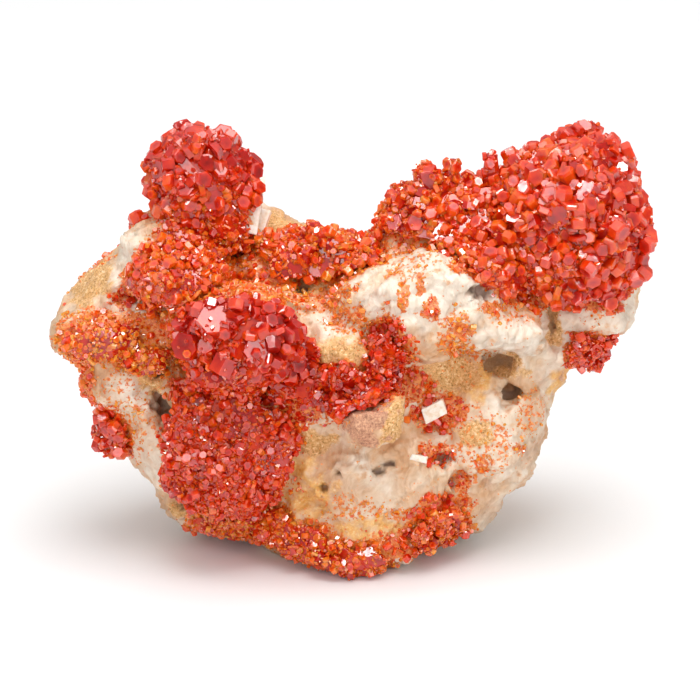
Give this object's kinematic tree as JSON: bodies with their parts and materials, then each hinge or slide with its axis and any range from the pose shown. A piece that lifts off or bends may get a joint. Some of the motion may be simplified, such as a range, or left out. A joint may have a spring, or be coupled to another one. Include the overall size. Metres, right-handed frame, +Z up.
{
  "type": "vanadinite on matrix specimen",
  "caption": "Hand-size mineral specimen: red hexagonal vanadinite crystals in clusters on a pale, rugged barite and limonite matrix, trimmed flat to stand.",
  "frame": {"origin": "centre of the flat underside that the matrix stands on", "axes": "+X along the specimen's length, from the knob's side to the crest's side; -Y is the show face; +Z up"},
  "size_m": [0.0908, 0.0467, 0.0651],
  "materials": {
    "matrix_stone": "matte to silky: white bladed barite with tan limonite stone, stained orange in places",
    "vanadinite": "resinous to glassy red to orange-red crystal faces, slightly translucent"
  },
  "bodies": {
    "root": {"matrix": "matrix_stone", "knob_crystals": "vanadinite", "shoulder_crystals": "vanadinite", "left_wing_crystals": "vanadinite", "left_edge_crystals": "vanadinite", "heart_crystals": "vanadinite", "flank_crystals": "vanadinite", "hollow_crystals": "vanadinite", "saddle_crystals": "vanadinite", "crest_crystals": "vanadinite", "foot_crystals": "vanadinite", "toe_crystals": "vanadinite", "lip_crystals": "vanadinite"}
  },
  "joints": []
}
